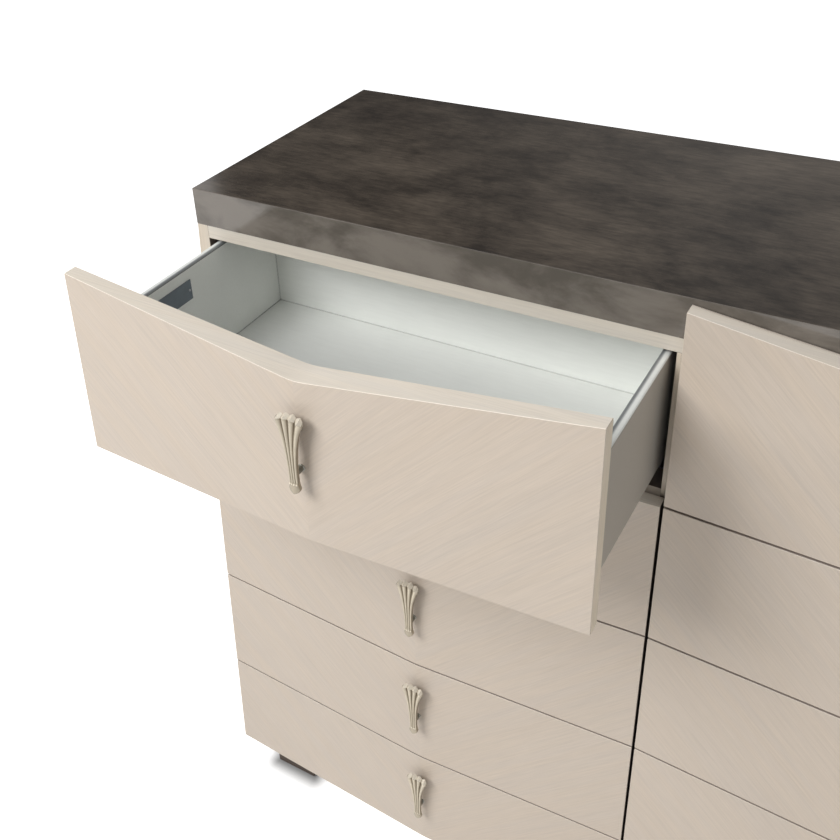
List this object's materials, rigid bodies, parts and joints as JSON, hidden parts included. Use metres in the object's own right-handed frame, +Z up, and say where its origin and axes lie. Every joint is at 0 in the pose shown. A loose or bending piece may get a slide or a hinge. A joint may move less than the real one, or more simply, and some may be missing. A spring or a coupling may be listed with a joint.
{
  "type": "mule chest of drawers",
  "caption": "Wide, tall chest of drawers with splayed ends, folded veneer fronts, fan pulls and a thick dark glossy top.",
  "frame": {"origin": "on the floor, under the middle of the part's box with the upper left drawer drawn open as pictured", "axes": "+X along the width to the right, +Y from the drawer fronts to the back, +Z up"},
  "size_m": [1.55, 0.742, 1.308],
  "materials": {
    "slab": "smoky dark brown mottled veneer under high-gloss clear lacquer",
    "veneer": "cream-greige wood veneer laid as a chevron, satin",
    "board": "plain light board, matt",
    "drawer_paint": "cool pale grey satin paint on wood",
    "pull": "satin champagne nickel on a fluted casting",
    "runner": "zinc-plated sheet",
    "plate": "dark slate satin, bare",
    "feet": "dark brown stain, satin, on plastic glides"
  },
  "bodies": {
    "case": {"top_slab": "slab", "side_left": "veneer", "side_right": "veneer", "centre_partition": "veneer", "back_panel": "board", "bottom_panel": "board", "rails": "veneer", "feet": "feet", "case_runners": "runner"},
    "drawer_l1": {"front_l1": "veneer", "box_l1": "drawer_paint", "pull_l1": "pull", "runner_l1": "runner", "drawer_plate": "plate"},
    "slide_l1": {"slide_l1": "runner"},
    "drawer_l2": {"front_l2": "veneer", "box_l2": "drawer_paint", "pull_l2": "pull", "runner_l2": "runner"},
    "slide_l2": {"slide_l2": "runner"},
    "drawer_l3": {"front_l3": "veneer", "box_l3": "drawer_paint", "pull_l3": "pull", "runner_l3": "runner"},
    "slide_l3": {"slide_l3": "runner"},
    "drawer_l4": {"front_l4": "veneer", "box_l4": "drawer_paint", "pull_l4": "pull", "runner_l4": "runner"},
    "slide_l4": {"slide_l4": "runner"},
    "drawer_l5": {"front_l5": "veneer", "box_l5": "drawer_paint", "pull_l5": "pull", "runner_l5": "runner"},
    "slide_l5": {"slide_l5": "runner"},
    "drawer_r1": {"front_r1": "veneer", "box_r1": "drawer_paint", "pull_r1": "pull", "runner_r1": "runner"},
    "slide_r1": {"slide_r1": "runner"},
    "drawer_r2": {"front_r2": "veneer", "box_r2": "drawer_paint", "pull_r2": "pull", "runner_r2": "runner"},
    "slide_r2": {"slide_r2": "runner"},
    "drawer_r3": {"front_r3": "veneer", "box_r3": "drawer_paint", "pull_r3": "pull", "runner_r3": "runner"},
    "slide_r3": {"slide_r3": "runner"},
    "drawer_r4": {"front_r4": "veneer", "box_r4": "drawer_paint", "pull_r4": "pull", "runner_r4": "runner"},
    "slide_r4": {"slide_r4": "runner"},
    "drawer_r5": {"front_r5": "veneer", "box_r5": "drawer_paint", "pull_r5": "pull", "runner_r5": "runner"},
    "slide_r5": {"slide_r5": "runner"}
  },
  "joints": [
    {"name": "draw_l1", "type": "slide", "parent": "case", "child": "drawer_l1", "axis": [0, -1, 0], "range_m": [-0.236, 0.054]},
    {"name": "follow_l1", "type": "slide", "parent": "case", "child": "slide_l1", "axis": [0, -1, 0], "range_m": [-0.118, 0.027]},
    {"name": "draw_l2", "type": "slide", "parent": "case", "child": "drawer_l2", "axis": [0, -1, 0], "range_m": [0, 0.29]},
    {"name": "follow_l2", "type": "slide", "parent": "case", "child": "slide_l2", "axis": [0, -1, 0], "range_m": [0, 0.145]},
    {"name": "draw_l3", "type": "slide", "parent": "case", "child": "drawer_l3", "axis": [0, -1, 0], "range_m": [0, 0.29]},
    {"name": "follow_l3", "type": "slide", "parent": "case", "child": "slide_l3", "axis": [0, -1, 0], "range_m": [0, 0.145]},
    {"name": "draw_l4", "type": "slide", "parent": "case", "child": "drawer_l4", "axis": [0, -1, 0], "range_m": [0, 0.29]},
    {"name": "follow_l4", "type": "slide", "parent": "case", "child": "slide_l4", "axis": [0, -1, 0], "range_m": [0, 0.145]},
    {"name": "draw_l5", "type": "slide", "parent": "case", "child": "drawer_l5", "axis": [0, -1, 0], "range_m": [0, 0.29]},
    {"name": "follow_l5", "type": "slide", "parent": "case", "child": "slide_l5", "axis": [0, -1, 0], "range_m": [0, 0.145]},
    {"name": "draw_r1", "type": "slide", "parent": "case", "child": "drawer_r1", "axis": [0, -1, 0], "range_m": [0, 0.29]},
    {"name": "follow_r1", "type": "slide", "parent": "case", "child": "slide_r1", "axis": [0, -1, 0], "range_m": [0, 0.145]},
    {"name": "draw_r2", "type": "slide", "parent": "case", "child": "drawer_r2", "axis": [0, -1, 0], "range_m": [0, 0.29]},
    {"name": "follow_r2", "type": "slide", "parent": "case", "child": "slide_r2", "axis": [0, -1, 0], "range_m": [0, 0.145]},
    {"name": "draw_r3", "type": "slide", "parent": "case", "child": "drawer_r3", "axis": [0, -1, 0], "range_m": [0, 0.29]},
    {"name": "follow_r3", "type": "slide", "parent": "case", "child": "slide_r3", "axis": [0, -1, 0], "range_m": [0, 0.145]},
    {"name": "draw_r4", "type": "slide", "parent": "case", "child": "drawer_r4", "axis": [0, -1, 0], "range_m": [0, 0.29]},
    {"name": "follow_r4", "type": "slide", "parent": "case", "child": "slide_r4", "axis": [0, -1, 0], "range_m": [0, 0.145]},
    {"name": "draw_r5", "type": "slide", "parent": "case", "child": "drawer_r5", "axis": [0, -1, 0], "range_m": [0, 0.29]},
    {"name": "follow_r5", "type": "slide", "parent": "case", "child": "slide_r5", "axis": [0, -1, 0], "range_m": [0, 0.145]}
  ],
  "couplings": [
    {"joint": "follow_l1", "follows": "draw_l1", "ratio": 0.5},
    {"joint": "follow_l2", "follows": "draw_l2", "ratio": 0.5},
    {"joint": "follow_l3", "follows": "draw_l3", "ratio": 0.5},
    {"joint": "follow_l4", "follows": "draw_l4", "ratio": 0.5},
    {"joint": "follow_l5", "follows": "draw_l5", "ratio": 0.5},
    {"joint": "follow_r1", "follows": "draw_r1", "ratio": 0.5},
    {"joint": "follow_r2", "follows": "draw_r2", "ratio": 0.5},
    {"joint": "follow_r3", "follows": "draw_r3", "ratio": 0.5},
    {"joint": "follow_r4", "follows": "draw_r4", "ratio": 0.5},
    {"joint": "follow_r5", "follows": "draw_r5", "ratio": 0.5}
  ]
}
